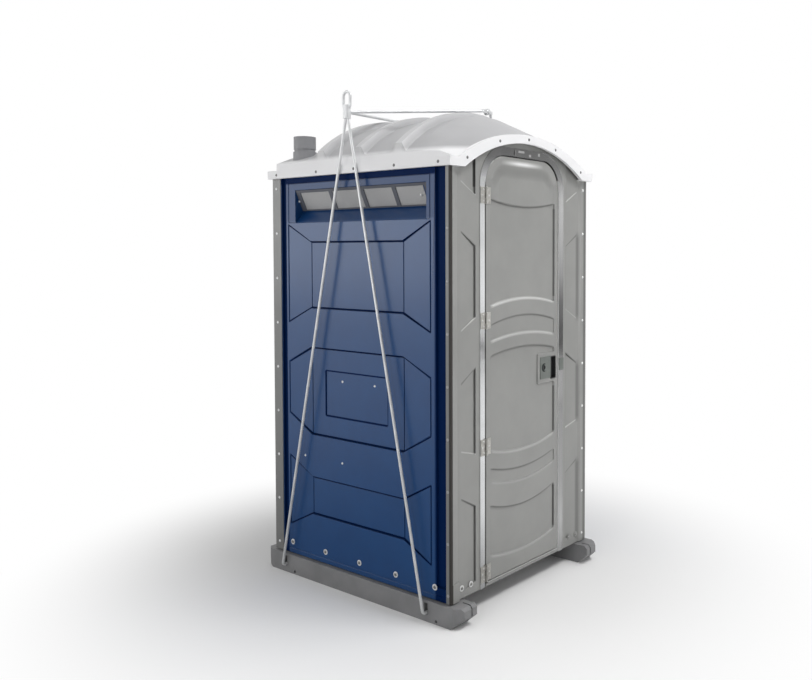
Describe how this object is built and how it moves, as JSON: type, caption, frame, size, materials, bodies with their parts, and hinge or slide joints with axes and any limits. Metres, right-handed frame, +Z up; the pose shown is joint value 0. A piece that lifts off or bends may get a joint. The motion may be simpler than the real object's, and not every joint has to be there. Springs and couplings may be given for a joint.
{
  "type": "portable toilet cabin",
  "caption": "Portable toilet cabin on skids: blue side walls, grey arched door and front, ribbed pale roof, vent stack, and a hinged lifting sling of bent rods.",
  "frame": {"origin": "on the ground under the middle of the cabin", "axes": "+Z up, the door faces -Y, +X to the right of someone who looks at the door from outside"},
  "size_m": [1.1989, 1.338, 2.401],
  "materials": {
    "skid": "moulded dark grey",
    "floor": "moulded grey",
    "side_sheet": "glossy navy sheet",
    "end_sheet": "glossy mid grey sheet",
    "roof_sheet": "pale translucent sheet",
    "vent_frame": "moulded grey",
    "mesh": "woven insect mesh",
    "bright_trim": "mill finish extrusion",
    "stack": "extruded grey pipe",
    "hinge": "zinc plated",
    "steel": "zinc plated",
    "latch": "satin",
    "pull": "moulded dark grey",
    "dark_plastic": "moulded black",
    "tank": "moulded grey",
    "seat": "glossy black",
    "urinal": "glossy grey",
    "hose": "smooth",
    "paper": "tissue",
    "galvanised": "hot dip galvanised"
  },
  "bodies": {
    "cabin": {"skid_left": "skid", "skid_right": "skid", "floor_pan": "floor", "wall_left": "side_sheet", "wall_right": "side_sheet", "vent_frame_left": "vent_frame", "vent_frame_right": "vent_frame", "vent_mesh_left": "mesh", "vent_mesh_right": "mesh", "front_panel": "end_sheet", "wall_rear": "end_sheet", "frame_head": "bright_trim", "frame_jamb_left": "bright_trim", "frame_jamb_right": "bright_trim", "threshold": "bright_trim", "roof": "roof_sheet", "vent_stack": "stack", "stack_head": "stack", "stack_collar": "stack", "hinge_frame_leaves": "hinge", "hinge_pins": "steel", "hinge_frame_screws": "steel", "strike_plate": "latch", "header_bracket": "bright_trim", "holding_tank": "tank", "seat_deck": "tank", "seat_hinges": "seat", "seat_pins": "steel", "urinal": "urinal", "urinal_hose": "hose", "paper_holder": "dark_plastic", "paper_bar": "steel", "coat_hook": "dark_plastic", "corner_rivets": "steel", "roof_screws": "steel", "base_bolts": "steel", "wall_screws": "steel"},
    "door": {"door": "end_sheet", "hinge_door_leaves": "hinge", "hinge_door_screws": "steel", "latch_plate": "latch", "pull_cup": "pull", "latch_case": "dark_plastic"},
    "latch_knob": {"latch_knob": "dark_plastic"},
    "latch_bolt": {"latch_bolt": "steel"},
    "toilet_seat": {"toilet_seat": "seat"},
    "paper_roll_front": {"paper_roll_front": "paper"},
    "paper_roll_rear": {"paper_roll_rear": "paper"},
    "sling_left": {"sling_leg_left_front": "galvanised", "sling_leg_left_rear": "galvanised", "sling_collar": "galvanised", "lift_ring": "galvanised", "roof_rod_front": "galvanised", "roof_rod_rear": "galvanised", "sling_pins": "galvanised"},
    "right_leg_front": {"sling_leg_right_front": "galvanised"},
    "right_leg_rear": {"sling_leg_right_rear": "galvanised"}
  },
  "joints": [
    {"name": "door_swing", "type": "hinge", "parent": "cabin", "child": "door", "pos_m": [-0.299, -0.5993, 1.1], "axis": [0, 0, -1], "range_deg": [0, 110]},
    {"name": "latch_turn", "type": "hinge", "parent": "door", "child": "latch_knob", "pos_m": [0.17, -0.546, 1.066], "axis": [0, 1, 0], "range_deg": [0, 90]},
    {"name": "bolt_slide", "type": "slide", "parent": "door", "child": "latch_bolt", "axis": [1, 0, 0], "range_m": [0, 0.028]},
    {"name": "seat_lift", "type": "hinge", "parent": "cabin", "child": "toilet_seat", "pos_m": [0, 0.555, 0.475], "axis": [-1, 0, 0], "range_deg": [0, 90]},
    {"name": "front_roll_spin", "type": "hinge", "parent": "cabin", "child": "paper_roll_front", "pos_m": [-0.4765, 0.197, 0.62], "axis": [0, 1, 0], "continuous": true},
    {"name": "rear_roll_spin", "type": "hinge", "parent": "cabin", "child": "paper_roll_rear", "pos_m": [-0.4765, 0.303, 0.62], "axis": [0, 1, 0], "continuous": true},
    {"name": "sling_left_swing", "type": "hinge", "parent": "cabin", "child": "sling_left", "pos_m": [-0.592, 0.018, 0.04], "axis": [0, -1, 0], "range_deg": [0, 80]},
    {"name": "right_leg_front_swing", "type": "hinge", "parent": "cabin", "child": "right_leg_front", "pos_m": [0.592, -0.469, 0.04], "axis": [0, 1, 0], "range_deg": [0, 80]},
    {"name": "right_leg_rear_swing", "type": "hinge", "parent": "cabin", "child": "right_leg_rear", "pos_m": [0.592, 0.505, 0.04], "axis": [0, 1, 0], "range_deg": [0, 80]}
  ],
  "couplings": [
    {"joint": "bolt_slide", "follows": "latch_turn", "m_per_rad": 0.017825}
  ]
}
